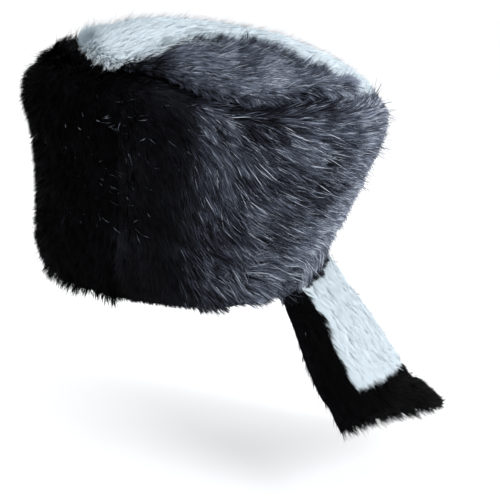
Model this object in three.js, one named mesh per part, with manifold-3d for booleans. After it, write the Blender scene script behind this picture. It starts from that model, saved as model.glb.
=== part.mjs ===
// Skunk cap: a tall fur hat of black pelts with a white stripe over the crown
// and a striped tail at the back of the rim.
// Millimetres. +Z up, the forehead faces -Y, the wearer's left is +X.
// The origin is the centre of the head opening, in the plane of the rim.
import * as THREE from 'three';
import { mergeVertices } from 'three/addons/utils/BufferGeometryUtils.js';
import Module from 'manifold-3d';

// ---- driving sizes -------------------------------------------------------
const WALL_TOP = 159;      // height of the seam between wall and crown, front and back
const NAPE_LIFT = 17;      // how far the rim rises at the back of the neck
const OVAL = 2.2;          // exponent of the oval plan (2 is an ellipse)
const FRONT_LIP = 1;       // fur of the forehead pelt standing above the seam
const SEAM_ANGLE = 59;     // half the angle that the forehead pelt covers, degrees
const SEAM_GAP = 0.5;      // gap between neighbouring pelts
const SEAM_DIP = 2.4;      // how far the pile sinks into a seam

const CROWN = { front: 95, back: 119, half: 93, edge: 4.8, rise: 21, power: 2.4 };
const CROWN_GAP = 0.4;     // between the wall's top and the crown
const CROWN_PILE = 14;     // hide and pile of the crown
const STRIPE_EXTRA = 5.5;  // the white pile is this much longer

const TAIL_GAP = 0.5;      // between the strips of the tail
const TAIL_STRIPE_END = 0.63; // where the white strip stops, as a share of the length

// ---- tables --------------------------------------------------------------
// outer form of the wall's fur, from rim (height 0) to crown seam (height 1)
const WALL_ROWS = [
  { height: 0.00, front: 107, back: 94, half: 82.5 },
  { height: 0.06, front: 111.5, back: 99.5, half: 86 },
  { height: 0.30, front: 116.5, back: 115.5, half: 92 },
  { height: 0.60, front: 122, back: 128, half: 99.5 },
  { height: 0.86, front: 128, back: 134.5, half: 105 },
  { height: 0.95, front: 118.5, back: 132, half: 103.5 },
  { height: 1.00, front: 108, back: 125, half: 97.5 },
];

// the hide side of the wall, round the head
const HEAD_ROWS = [
  { height: 0.0, front: 101, back: 88, half: 76 },
  { height: 0.3, front: 103, back: 98, half: 78 },
  { height: 0.6, front: 103, back: 104, half: 80 },
  { height: 1.0, front: 92, back: 104, half: 78 },
];

// the crown seam sags over each ear and at the front seams
const SEAM_SAGS = [
  { angle: 100, spread: 25, drop: 13 },
  { angle: 46, spread: 15, drop: 5 },
  { angle: -95, spread: 28, drop: 6 },
  { angle: -46, spread: 15, drop: 4 },
];

// dents (depth > 0) and swellings (depth < 0) of the fur wall; every size in mm
const WALL_DENTS = [
  { angle: 134, height: 0.68, wide: 8, tall: 34, depth: 4.5 },   // fold behind the left ear
  { angle: 103, height: 0.42, wide: 24, tall: 14, depth: 3.0 },
  { angle: 112, height: 0.20, wide: 14, tall: 12, depth: 2.5 },
  { angle: 100, height: 0.90, wide: 26, tall: 8, depth: 3.0 },
  { angle: 82, height: 0.66, wide: 28, tall: 26, depth: -2.5 },
  { angle: 152, height: 0.80, wide: 26, tall: 26, depth: -2.0 },
  { angle: -104, height: 0.46, wide: 22, tall: 16, depth: 2.6 },
  { angle: -138, height: 0.66, wide: 9, tall: 30, depth: 3.6 },
  { angle: -78, height: 0.70, wide: 28, tall: 24, depth: -2.2 },
  { angle: 14, height: 0.42, wide: 22, tall: 24, depth: 2.0 },
];

// edges of the white crown stripe in plan
const STRIPE_ROWS = [
  { y: -130, left: 72, right: 54 },
  { y: -80, left: 75, right: 55 },
  { y: -56, left: 74, right: 52 },
  { y: -44, left: 68.5, right: 50 },
  { y: -30, left: 57, right: 48 },
  { y: -14, left: 51, right: 46.3 },
  { y: 5, left: 47, right: 44 },
  { y: 40, left: 44.5, right: 42 },
  { y: 56, left: 54, right: 43 },
  { y: 80, left: 59, right: 45 },
  { y: 95, left: 56, right: 46 },
  { y: 130, left: 52, right: 48 },
];

// centreline of the tail from the rim to the tip, with its section; arch is how far the edges curl under
const TAIL_ROWS = [
  { along: 0.00, x: 17, y: 101.5, z: 23, wide: 104, thick: 8, turn: 20, skew: 0, arch: 15 },
  { along: 0.10, x: 17.5, y: 111.5, z: 8, wide: 110, thick: 14, turn: 22, skew: 0.09, arch: 13 },
  { along: 0.24, x: 18.5, y: 124, z: -12.5, wide: 114.5, thick: 21, turn: 23.5, skew: 0.23, arch: 10 },
  { along: 0.44, x: 18, y: 146, z: -43.5, wide: 117.5, thick: 23, turn: 28, skew: 0.43, arch: 9 },
  { along: 0.64, x: 15, y: 167, z: -71, wide: 120.5, thick: 23, turn: 28, skew: 0.67, arch: 9 },
  { along: 0.80, x: 11, y: 181.5, z: -87.5, wide: 119, thick: 22, turn: 23, skew: 0.92, arch: 9 },
  { along: 0.92, x: 7, y: 194, z: -97, wide: 114, thick: 17, turn: 18, skew: 1.17, arch: 9 },
  { along: 1.00, x: 5, y: 203.5, z: -102.5, wide: 93, thick: 9, turn: 14, skew: 1.36, arch: 9 },
];
// reach of the white strip to either side of the tail's centreline
const TAIL_STRIPE = [
  { along: 0.0, left: 35.5, right: 46 },
  { along: 0.4, left: 38.5, right: 49 },
  { along: 1.0, left: 38.5, right: 50 },
];

// ---- small tools ---------------------------------------------------------
const rad = THREE.MathUtils.degToRad;

// smooth reading of one column of a table at t
function read(rows, key, column, t) {
  const last = rows.length - 1;
  const x = rows.map((r) => r[key]);
  const y = rows.map((r) => r[column]);
  t = Math.min(Math.max(t, x[0]), x[last]);
  const slope = [];
  for (let i = 0; i < last; i++) slope.push((y[i + 1] - y[i]) / (x[i + 1] - x[i]));
  const m = y.map((_, i) => {
    if (i === 0) return slope[0];
    if (i === last) return slope[last - 1];
    const a = x[i] - x[i - 1];
    const b = x[i + 1] - x[i];
    return (slope[i - 1] * b + slope[i] * a) / (a + b);
  });
  let i = 0;
  while (i < last - 1 && t > x[i + 1]) i++;
  const h = x[i + 1] - x[i];
  const s = (t - x[i]) / h;
  return (2 * s ** 3 - 3 * s ** 2 + 1) * y[i] + (s ** 3 - 2 * s ** 2 + s) * h * m[i]
    + (-2 * s ** 3 + 3 * s ** 2) * y[i + 1] + (s ** 3 - s ** 2) * h * m[i + 1];
}

// radius of the oval in the direction u; u = 0 is the forehead, 90 degrees the left ear
function oval(u, front, back, half) {
  const long = Math.cos(u) > 0 ? front : back;
  return (Math.abs(Math.sin(u) / half) ** OVAL + Math.abs(Math.cos(u) / long) ** OVAL) ** (-1 / OVAL);
}

const step = (t) => { t = Math.min(Math.max(t, 0), 1); return t * t * (3 - 2 * t); };
const rimHeight = (u) => NAPE_LIFT * ((1 - Math.cos(u)) / 2) ** 5;
const lip = (u) => FRONT_LIP * step((Math.cos(u) - 0.55) / 0.4);

function wrap(a) { return Math.atan2(Math.sin(a), Math.cos(a)); }

// how far the crown seam hangs below WALL_TOP in the direction u
function sag(u) {
  let d = 0;
  for (const k of SEAM_SAGS) d += k.drop * Math.exp(-((wrap(u - rad(k.angle)) / rad(k.spread)) ** 2));
  return d;
}

function dent(u, v, r) {
  let d = 0;
  for (const k of WALL_DENTS) {
    const a = (wrap(u - rad(k.angle)) * r) / k.wide;
    const b = ((v - k.height) * WALL_TOP) / k.tall;
    d += k.depth * Math.exp(-(a * a + b * b));
  }
  return d;
}

// sections lofted into one closed body; each section is a loop of points
function loft(sections) {
  const n = sections[0].length;
  const position = [];
  const index = [];
  for (const s of sections) for (const p of s) position.push(p.x, p.y, p.z);
  for (let i = 0; i + 1 < sections.length; i++) {
    for (let k = 0; k < n; k++) {
      const a = i * n + k;
      const b = i * n + ((k + 1) % n);
      index.push(a, b, b + n, a, b + n, a + n);
    }
  }
  const cap = (s, base, flip) => {
    // the end section is laid flat in its own plane and filled
    const o = s[0];
    const nrm = new THREE.Vector3();
    for (let k = 0; k < n; k++) nrm.add(new THREE.Vector3().crossVectors(s[k], s[(k + 1) % n]));
    nrm.normalize();
    const ex = new THREE.Vector3().subVectors(s[1], o).normalize();
    const ey = new THREE.Vector3().crossVectors(nrm, ex);
    const flat = s.map((p) => {
      const d = new THREE.Vector3().subVectors(p, o);
      return new THREE.Vector2(d.dot(ex), d.dot(ey));
    });
    for (const [a, b, c] of THREE.ShapeUtils.triangulateShape(flat, [])) {
      if (flip) index.push(base + a, base + c, base + b);
      else index.push(base + a, base + b, base + c);
    }
  };
  cap(sections[0], 0, true);
  cap(sections[sections.length - 1], (sections.length - 1) * n, false);
  const g = new THREE.BufferGeometry();
  g.setAttribute('position', new THREE.Float32BufferAttribute(position, 3));
  g.setIndex(index);
  return outward(g);
}

function volume(g) {
  const p = g.getAttribute('position');
  const ix = g.getIndex();
  const a = new THREE.Vector3();
  const b = new THREE.Vector3();
  const c = new THREE.Vector3();
  let v = 0;
  for (let i = 0; i < ix.count; i += 3) {
    a.fromBufferAttribute(p, ix.getX(i));
    b.fromBufferAttribute(p, ix.getX(i + 1));
    c.fromBufferAttribute(p, ix.getX(i + 2));
    v += a.dot(b.cross(c)) / 6;
  }
  return v;
}

// turns a closed mesh so that its faces point out
function outward(g) {
  if (volume(g) < 0) {
    const ix = g.getIndex();
    for (let i = 0; i < ix.count; i += 3) {
      const b = ix.getX(i + 1);
      ix.setX(i + 1, ix.getX(i + 2));
      ix.setX(i + 2, b);
    }
  }
  return g;
}

// ---- wall ----------------------------------------------------------------
const OUTER_HEIGHTS = [0, 0.02, 0.06, 0.15, 0.27, 0.4, 0.53, 0.66, 0.78, 0.88, 0.95, 1];
const INNER_HEIGHTS = [1, 0.8, 0.6, 0.4, 0.2, 0];

const onRow = (rows, u, v) => oval(u, read(rows, 'height', 'front', v), read(rows, 'height', 'back', v), read(rows, 'height', 'half', v));
const wallRadius = (u, v) => onRow(WALL_ROWS, u, v);
const wallHeight = (u, v) => rimHeight(u) * (1 - v) + (WALL_TOP - sag(u)) * v;
const at = (u, r, z) => new THREE.Vector3(r * Math.sin(u), -r * Math.cos(u), z);

function wallSection(u, sink) {
  const loop = [];
  const edge = oval(u, CROWN.front, CROWN.back, CROWN.half);
  for (const v of OUTER_HEIGHTS) {
    const r0 = wallRadius(u, v);
    const r = r0 - dent(u, v, r0) - sink * step(v / 0.05);
    loop.push(at(u, r, wallHeight(u, v) + lip(u) * step((v - 0.7) / 0.3)));
  }
  loop.push(at(u, edge + 1.8, wallHeight(u, 1) + 0.96 * lip(u)));
  loop.push(at(u, edge + 1.0, wallHeight(u, 1)));
  for (const v of INNER_HEIGHTS) loop.push(at(u, onRow(HEAD_ROWS, u, v), wallHeight(u, v)));
  return loop;
}

function wallPiece(from, to, count) {
  const sections = [];
  for (let i = 0; i <= count; i++) {
    const t = i / count;
    const u = rad(from + (to - from) * t);
    const r = wallRadius(u, 0.5);
    // the pile sinks towards both ends, over about 12 mm
    const d = Math.min(t, 1 - t) * rad(Math.abs(to - from)) * r;
    const sink = SEAM_DIP * (1 - step(d / 12));
    sections.push(wallSection(u, sink));
  }
  return loft(sections);
}

const gapAngle = THREE.MathUtils.radToDeg(SEAM_GAP / 2 / 100);
const frontPanel = wallPiece(-SEAM_ANGLE + gapAngle, SEAM_ANGLE - gapAngle, 26);
const sideBand = wallPiece(SEAM_ANGLE + gapAngle, 360 - SEAM_ANGLE - gapAngle, 54);

// ---- crown ---------------------------------------------------------------
const wasm = await Module();
wasm.setup();

function toManifold(g) {
  const clean = g.clone();
  clean.deleteAttribute('normal');
  clean.deleteAttribute('uv');
  const m = mergeVertices(clean, 1e-4);
  return new wasm.Manifold(new wasm.Mesh({
    numProp: 3,
    vertProperties: new Float32Array(m.getAttribute('position').array),
    triVerts: new Uint32Array(m.getIndex().array),
  }));
}

function fromManifold(body) {
  const m = body.getMesh();
  const g = new THREE.BufferGeometry();
  g.setAttribute('position', new THREE.Float32BufferAttribute(new Float32Array(m.vertProperties), 3));
  g.setIndex(new THREE.Uint32BufferAttribute(new Uint32Array(m.triVerts), 1));
  return g;
}

// height of the crown's fur at the share rho of the way to its edge
function domeHeight(rho, extra) {
  return WALL_TOP + CROWN.edge + CROWN.rise * (1 - rho ** CROWN.power) + extra * (1 - rho ** 6);
}

function crownShell(extra) {
  const AROUND = 60;
  const OUT = [1, 0.97, 0.9, 0.78, 0.62, 0.45, 0.27, 0.12];
  const IN = [0.12, 0.35, 0.55, 0.72, 0.84];
  const floor = WALL_TOP + CROWN_GAP;
  const low = (u, rho) => sag(u) * step((rho - 0.4) / 0.5);
  const outer = (rho) => (u) => (rho === 1 ? WALL_TOP + 3.2 : domeHeight(rho, extra)) - low(u, rho);
  const rings = [{ rho: 0.985, z: (u) => floor - sag(u) }];
  for (const rho of OUT) rings.push({ rho, z: outer(rho) });
  const position = [];
  const index = [];
  const ring = (rho, z) => {
    const base = position.length / 3;
    for (let k = 0; k < AROUND; k++) {
      const u = (2 * Math.PI * k) / AROUND;
      const p = at(u, rho * oval(u, CROWN.front, CROWN.back, CROWN.half), z(u));
      position.push(p.x, p.y, p.z);
    }
    return base;
  };
  const join = (a, b) => {
    for (let k = 0; k < AROUND; k++) {
      const n = (k + 1) % AROUND;
      index.push(a + k, a + n, b + n, a + k, b + n, b + k);
    }
  };
  const bases = rings.map((r) => ring(r.rho, r.z));
  for (let i = 0; i + 1 < bases.length; i++) join(bases[i], bases[i + 1]);
  const top = position.length / 3;
  position.push(0, 0, domeHeight(0, extra));
  const lastRing = bases[bases.length - 1];
  for (let k = 0; k < AROUND; k++) index.push(lastRing + k, lastRing + ((k + 1) % AROUND), top);
  // underside: a flat ring on the wall, then the hollow of the crown
  const under = IN.map((rho) => ring(rho, (u) => Math.max(floor, domeHeight(rho, 0) - CROWN_PILE) - low(u, rho)));
  const centre = position.length / 3;
  position.push(0, 0, domeHeight(0, 0) - CROWN_PILE);
  for (let k = 0; k < AROUND; k++) index.push(under[0] + ((k + 1) % AROUND), under[0] + k, centre);
  for (let i = 0; i + 1 < under.length; i++) join(under[i], under[i + 1]);
  join(under[under.length - 1], bases[0]);
  // the last join runs from the underside out to the edge
  const g = new THREE.BufferGeometry();
  g.setAttribute('position', new THREE.Float32BufferAttribute(position, 3));
  g.setIndex(index);
  return g;
}

// a plan outline between two wavy edges, as tall as the crown
function prism(leftEdge, rightEdge) {
  const ys = [];
  for (let y = -130; y <= 130; y += 10) ys.push(y);
  const shape = new THREE.Shape();
  ys.forEach((y, i) => (i ? shape.lineTo(leftEdge(y), y) : shape.moveTo(leftEdge(y), y)));
  [...ys].reverse().forEach((y) => shape.lineTo(rightEdge(y), y));
  shape.closePath();
  const g = new THREE.ExtrudeGeometry(shape, { depth: 80, bevelEnabled: false, steps: 1 });
  g.translate(0, 0, WALL_TOP - 10);
  return g;
}

const stripeLeft = (y) => read(STRIPE_ROWS, 'y', 'left', y);
const stripeRight = (y) => -read(STRIPE_ROWS, 'y', 'right', y);
const half = SEAM_GAP / 2;
const plainCrown = toManifold(outward(crownShell(0)));
const tallCrown = toManifold(outward(crownShell(STRIPE_EXTRA)));
const crownStripe = fromManifold(tallCrown.intersect(toManifold(prism((y) => stripeLeft(y) - half, (y) => stripeRight(y) + half))));
const crownLeft = fromManifold(plainCrown.intersect(toManifold(prism(() => 120, (y) => stripeLeft(y) + half))));
const crownRight = fromManifold(plainCrown.intersect(toManifold(prism((y) => stripeRight(y) - half, () => -120))));

// ---- tail ----------------------------------------------------------------
function tailFrame(s) {
  const p = (t) => new THREE.Vector3(read(TAIL_ROWS, 'along', 'x', t), read(TAIL_ROWS, 'along', 'y', t), read(TAIL_ROWS, 'along', 'z', t));
  const o = p(s);
  const t = new THREE.Vector3().subVectors(p(Math.min(s + 0.01, 1)), p(Math.max(s - 0.01, 0))).normalize();
  const side = new THREE.Vector3(1, 0, 0);
  side.addScaledVector(t, -side.dot(t)).normalize();
  const face = new THREE.Vector3().crossVectors(side, t).normalize();
  if (face.y + face.z < 0) face.negate();
  // the tail's face turns towards the wearer's left
  const turn = rad(read(TAIL_ROWS, 'along', 'turn', s));
  const n = face.clone().multiplyScalar(Math.cos(turn)).addScaledVector(side, Math.sin(turn));
  const w = side.clone().multiplyScalar(Math.cos(turn)).addScaledVector(face, -Math.sin(turn));
  // the right edge runs on further than the left
  w.addScaledVector(t, -read(TAIL_ROWS, 'along', 'skew', s));
  return {
    o, w, n,
    wide: read(TAIL_ROWS, 'along', 'wide', s),
    thick: read(TAIL_ROWS, 'along', 'thick', s),
    arch: read(TAIL_ROWS, 'along', 'arch', s),
  };
}

// a point of the tail's section: a is the place across in mm, top is the outer or the hide side
function tailPoint(f, a, top) {
  const q = Math.min(Math.abs((2 * a) / f.wide), 1);
  const mid = -f.arch * q * q * Math.min(f.wide / 100, 1);
  const t = f.thick * (1 - 0.72 * q ** 3);
  return f.o.clone().addScaledVector(f.w, a).addScaledVector(f.n, mid + (top ? t / 2 : -t / 2));
}

function tailStrip(from, to, count, a0, a1, across) {
  const sections = [];
  for (let i = 0; i <= count; i++) {
    const s = from + ((to - from) * i) / count;
    const f = tailFrame(s);
    const lo = a0(s, f);
    const hi = a1(s, f);
    const loop = [];
    for (let k = 0; k <= across; k++) loop.push(tailPoint(f, lo + ((hi - lo) * k) / across, true));
    for (let k = across; k >= 0; k--) loop.push(tailPoint(f, lo + ((hi - lo) * k) / across, false));
    sections.push(loop);
  }
  return loft(sections);
}

const tailLength = 175; // along the centreline, only to turn a gap into a share
const whiteLeft = (s) => read(TAIL_STRIPE, 'along', 'left', s);
const whiteRight = (s) => -read(TAIL_STRIPE, 'along', 'right', s);
const cut = TAIL_GAP / 2;
const tailStripe = tailStrip(0, TAIL_STRIPE_END, 16, (s) => whiteRight(s) + cut, (s) => whiteLeft(s) - cut, 8);
const tailLeft = tailStrip(0, TAIL_STRIPE_END, 16, (s) => whiteLeft(s) + cut, (s, f) => f.wide / 2, 4);
const tailRight = tailStrip(0, TAIL_STRIPE_END, 16, (s, f) => -f.wide / 2, (s) => whiteRight(s) - cut, 4);
const tailTip = tailStrip(TAIL_STRIPE_END + TAIL_GAP / tailLength, 1, 12, (s, f) => -f.wide / 2, (s, f) => f.wide / 2, 12);

// ---- the hat -------------------------------------------------------------
const blackFur = { color: 0x17181d, roughness: 0.62, metalness: 0 };
const whiteFur = { color: 0xe9edf1, roughness: 0.85, metalness: 0 };

const hat = new THREE.Group();
hat.name = 'skunk_cap';
function add(name, geometry, finish) {
  geometry.computeVertexNormals();
  const mesh = new THREE.Mesh(geometry, new THREE.MeshStandardMaterial(finish));
  mesh.name = name;
  hat.add(mesh);
}
add('front_panel', frontPanel, blackFur);
add('side_band', sideBand, blackFur);
add('crown_left', crownLeft, blackFur);
add('crown_stripe', crownStripe, whiteFur);
add('crown_right', crownRight, blackFur);
add('tail_left', tailLeft, blackFur);
add('tail_stripe', tailStripe, whiteFur);
add('tail_right', tailRight, blackFur);
add('tail_tip', tailTip, blackFur);

export default hat;
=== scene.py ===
"""Skunk cap: fur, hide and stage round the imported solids. Sizes in the tables are millimetres."""
import math

import bpy
import numpy as np
from mathutils import Matrix, Vector


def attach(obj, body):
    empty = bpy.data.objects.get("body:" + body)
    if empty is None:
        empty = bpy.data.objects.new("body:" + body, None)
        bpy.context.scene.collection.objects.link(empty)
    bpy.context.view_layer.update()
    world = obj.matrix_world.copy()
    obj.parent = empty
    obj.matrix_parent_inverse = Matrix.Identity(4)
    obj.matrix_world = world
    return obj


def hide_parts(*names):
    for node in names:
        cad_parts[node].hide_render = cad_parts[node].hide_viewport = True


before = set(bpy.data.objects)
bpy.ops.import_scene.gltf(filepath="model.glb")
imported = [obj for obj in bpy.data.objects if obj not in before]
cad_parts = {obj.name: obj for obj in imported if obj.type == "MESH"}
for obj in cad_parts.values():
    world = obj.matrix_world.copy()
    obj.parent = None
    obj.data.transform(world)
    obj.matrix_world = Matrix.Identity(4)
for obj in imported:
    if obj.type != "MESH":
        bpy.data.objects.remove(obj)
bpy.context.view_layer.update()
rng = np.random.default_rng(4943)
MM = 0.001
FULL = 1.0   # share of the hairs grown while trying things

# ---- the forms of the hat, as the CAD has them ---------------------------
WALL_TOP, NAPE_LIFT, OVAL, FRONT_LIP = 159.0, 17.0, 2.2, 1.0
SEAM_ANGLE, SEAM_DIP = 59.0, 2.4
CROWN_FRONT, CROWN_BACK, CROWN_HALF, CROWN_EDGE, CROWN_RISE, CROWN_POWER = 95.0, 119.0, 93.0, 4.8, 21.0, 2.4
CROWN_GAP, CROWN_PILE, STRIPE_EXTRA = 0.4, 14.0, 5.5
TAIL_STRIPE_END = 0.63


def table(columns, rows):
    return {c: np.array([r[i] for r in rows], float) for i, c in enumerate(columns)}


WALL_ROWS = table(("height", "front", "back", "half"), [
    (0.00, 107, 94, 82.5), (0.06, 111.5, 99.5, 86), (0.30, 116.5, 115.5, 92), (0.60, 122, 128, 99.5),
    (0.86, 128, 134.5, 105), (0.95, 118.5, 132, 103.5), (1.00, 108, 125, 97.5)])
HEAD_ROWS = table(("height", "front", "back", "half"), [
    (0.0, 101, 88, 76), (0.3, 103, 98, 78), (0.6, 103, 104, 80), (1.0, 92, 104, 78)])
SEAM_SAGS = [(100, 25, 13), (46, 15, 5), (-95, 28, 6), (-46, 15, 4)]   # angle, spread, drop
WALL_DENTS = [                                                 # angle, height, wide, tall, depth
    (134, 0.68, 8, 34, 4.5), (103, 0.42, 24, 14, 3.0), (112, 0.20, 14, 12, 2.5), (100, 0.90, 26, 8, 3.0),
    (82, 0.66, 28, 26, -2.5), (152, 0.80, 26, 26, -2.0), (-104, 0.46, 22, 16, 2.6), (-138, 0.66, 9, 30, 3.6),
    (-78, 0.70, 28, 24, -2.2), (14, 0.42, 22, 24, 2.0)]
STRIPE_ROWS = table(("y", "left", "right"), [
    (-130, 72, 54), (-80, 75, 55), (-56, 74, 52), (-44, 68.5, 50), (-30, 57, 48), (-14, 51, 46.3),
    (5, 47, 44), (40, 44.5, 42), (56, 54, 43), (80, 59, 45), (95, 56, 46), (130, 52, 48)])
TAIL_ROWS = table(("along", "x", "y", "z", "wide", "thick", "turn", "skew", "arch"), [
    (0.00, 17, 101.5, 23, 104, 8, 20, 0, 15), (0.10, 17.5, 111.5, 8, 110, 14, 22, 0.09, 13), (0.24,
    18.5, 124, -12.5, 114.5, 21, 23.5, 0.23, 10), (0.44, 18, 146, -43.5, 117.5, 23, 28, 0.43, 9),
    (0.64, 15, 167, -71, 120.5, 23, 28, 0.67, 9), (0.80, 11, 181.5, -87.5, 119, 22, 23, 0.92, 9),
    (0.92, 7, 194, -97, 114, 17, 18, 1.17, 9), (1.00, 5, 203.5, -102.5, 93, 9, 14, 1.36, 9)])
TAIL_STRIPE = table(("along", "left", "right"), [(0.0, 35.5, 46), (0.4, 38.5, 49), (1.0, 38.5, 50)])


def read(rows, key, column, t):
    """Smooth reading of one column of a table at t."""
    x, y = rows[key], rows[column]
    t = np.clip(t, x[0], x[-1])
    slope = np.diff(y) / np.diff(x)
    m = np.empty_like(y)
    m[0], m[-1] = slope[0], slope[-1]
    a, b = np.diff(x)[:-1], np.diff(x)[1:]
    m[1:-1] = (slope[:-1] * b + slope[1:] * a) / (a + b)
    i = np.clip(np.searchsorted(x, t, side="left") - 1, 0, len(x) - 2)
    h = x[i + 1] - x[i]
    s = (t - x[i]) / h
    return ((2 * s**3 - 3 * s**2 + 1) * y[i] + (s**3 - 2 * s**2 + s) * h * m[i]
            + (-2 * s**3 + 3 * s**2) * y[i + 1] + (s**3 - s**2) * h * m[i + 1])


def step(t):
    t = np.clip(t, 0, 1)
    return t * t * (3 - 2 * t)


def wrap(a):
    return np.arctan2(np.sin(a), np.cos(a))


def unit(v):
    return v / np.maximum(np.linalg.norm(v, axis=-1, keepdims=True), 1e-12)


def oval(u, front, back, half):
    long = np.where(np.cos(u) > 0, front, back)
    return (np.abs(np.sin(u) / half) ** OVAL + np.abs(np.cos(u) / long) ** OVAL) ** (-1 / OVAL)


def on_rows(rows, u, v):
    return oval(u, read(rows, "height", "front", v), read(rows, "height", "back", v), read(rows, "height", "half", v))


def rim_height(u):
    return NAPE_LIFT * ((1 - np.cos(u)) / 2) ** 5


def lip(u):
    return FRONT_LIP * step((np.cos(u) - 0.55) / 0.4)


def sag(u):
    return sum(drop * np.exp(-((wrap(u - math.radians(a)) / math.radians(w)) ** 2)) for a, w, drop in SEAM_SAGS)


def wall_height(u, v):
    return rim_height(u) * (1 - v) + (WALL_TOP - sag(u)) * v


def dent(u, v, r):
    d = np.zeros_like(u)
    for a, h, wide, tall, depth in WALL_DENTS:
        d += depth * np.exp(-((wrap(u - math.radians(a)) * r / wide) ** 2 + ((v - h) * WALL_TOP / tall) ** 2))
    return d


def at(u, r, z):
    return np.stack([r * np.sin(u), -r * np.cos(u), z], -1)


RIM, TOP = 0.05, 0.10     # how far the wall's profile runs on under the rim and over the top


def wall(u, q):
    """The wall's fur. q runs up from the rim, 0, to the crown seam, 1; below 0 it is under the rim, above 1 on top."""
    u, q = np.broadcast_arrays(np.asarray(u, float), np.asarray(q, float))
    v = np.clip(q, 0, 1)
    r0 = on_rows(WALL_ROWS, u, v)
    d = np.abs(np.abs(wrap(u)) - math.radians(SEAM_ANGLE)) * r0
    sink = SEAM_DIP * (1 - step(d / 12))
    r = r0 - dent(u, v, r0) - sink * step(v / 0.05)
    z = wall_height(u, v) + lip(u) * step((v - 0.7) / 0.3)
    under = np.clip(-q / RIM, 0, 1)
    r = r + (on_rows(HEAD_ROWS, u, 0) - r) * under
    over = np.clip((q - 1) / TOP, 0, 1)
    r = r + (oval(u, CROWN_FRONT, CROWN_BACK, CROWN_HALF) + 1.8 - r) * over
    return at(u, r, z - 0.04 * lip(u) * over)


def crown_rho(x, y):
    long = np.where(y < 0, CROWN_FRONT, CROWN_BACK)
    return (np.abs(x / CROWN_HALF) ** OVAL + np.abs(y / long) ** OVAL) ** (1 / OVAL)


def crown_top(x, y, extra):
    rho = np.clip(crown_rho(x, y), 0, 1)
    u = np.arctan2(x, -y)
    z = WALL_TOP + CROWN_EDGE + CROWN_RISE * (1 - rho**CROWN_POWER) + extra * (1 - rho**6)
    z = z - 1.6 * step((rho - 0.97) / 0.03)
    return z - sag(u) * step((rho - 0.4) / 0.5)


def crown_under(x, y):
    rho = np.clip(crown_rho(x, y), 0, 1)
    dome = WALL_TOP + CROWN_EDGE + CROWN_RISE * (1 - rho**CROWN_POWER)
    return np.maximum(WALL_TOP + CROWN_GAP, dome - CROWN_PILE) - sag(np.arctan2(x, -y)) * step((rho - 0.4) / 0.5)


def crown_surface(extra):
    def surface(x, y):
        x, y = np.broadcast_arrays(np.asarray(x, float), np.asarray(y, float))
        return np.stack([x, y, crown_top(x, y, extra)], -1)
    return surface


def stripe_left(y):
    return read(STRIPE_ROWS, "y", "left", y)


def stripe_right(y):
    return -read(STRIPE_ROWS, "y", "right", y)


def crown_limit(y):
    long = np.where(y < 0, CROWN_FRONT, CROWN_BACK)
    return CROWN_HALF * np.maximum(1 - np.abs(y / long) ** OVAL, 1e-6) ** (1 / OVAL)


def tail_frame(s):
    def p(t):
        return np.stack([read(TAIL_ROWS, "along", c, t) for c in "xyz"], -1)
    o = p(s)
    t = unit(p(np.minimum(s + 0.01, 1)) - p(np.maximum(s - 0.01, 0)))
    side = np.zeros_like(t)
    side[..., 0] = 1
    side = unit(side - t * (side * t).sum(-1, keepdims=True))
    face = unit(np.cross(side, t))
    face = np.where((face[..., 1] + face[..., 2] < 0)[..., None], -face, face)
    turn = np.radians(read(TAIL_ROWS, "along", "turn", s))[..., None]
    n = face * np.cos(turn) + side * np.sin(turn)
    w = side * np.cos(turn) - face * np.sin(turn) - t * read(TAIL_ROWS, "along", "skew", s)[..., None]
    return o, w, n, t


def tail_surface(side):
    """side is 1 for the outer face and -1 for the one towards the neck; a is the place across."""
    def surface(a, s):
        a, s = np.broadcast_arrays(np.asarray(a, float), np.asarray(s, float))
        o, w, n, _ = tail_frame(s)
        wide = read(TAIL_ROWS, "along", "wide", s)
        thick = read(TAIL_ROWS, "along", "thick", s)
        arch = read(TAIL_ROWS, "along", "arch", s)
        q = np.minimum(np.abs(2 * a / wide), 1)
        mid = -arch * q**2 * np.minimum(wide / 100, 1)
        th = thick * (1 - 0.72 * q**3)
        return o + w * a[..., None] + n * (mid + side * th / 2)[..., None]
    return surface


# ---- noise ---------------------------------------------------------------
def noise(p, scale, seed=0):
    """Smooth value noise from -1 to 1 at points p, with bumps about scale apart."""
    g = p / scale + 1000.0 + seed * 17.31
    i = np.floor(g).astype(np.int64)
    f = g - i
    f = f * f * (3 - 2 * f)

    def value(ix, iy, iz):
        h = (ix * 374761393 + iy * 668265263 + iz * 2147483647 + seed * 1274126177) & 0xFFFFFFFF
        h = ((h ^ (h >> 13)) * 1274126177) & 0xFFFFFFFF
        h = h ^ (h >> 16)
        return (h & 0xFFFF) / 32767.5 - 1
    out = 0
    for dx in (0, 1):
        for dy in (0, 1):
            for dz in (0, 1):
                w = ((f[..., 0] if dx else 1 - f[..., 0]) * (f[..., 1] if dy else 1 - f[..., 1])
                     * (f[..., 2] if dz else 1 - f[..., 2]))
                out = out + w * value(i[..., 0] + dx, i[..., 1] + dy, i[..., 2] + dz)
    return out


def frames(surface, p, q, ep, eq):
    """Point, unit tangents along p and q with their lengths, and the outward normal."""
    here = surface(p, q)
    tp = (surface(p + ep, q) - surface(p - ep, q)) / (2 * ep)
    tq = (surface(p, q + eq) - surface(p, q - eq)) / (2 * eq)
    lp = np.linalg.norm(tp, axis=-1)
    lq = np.linalg.norm(tq, axis=-1)
    n = unit(np.cross(tp, tq))
    return here, tp / lp[..., None], tq / lq[..., None], n, lp, lq


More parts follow.
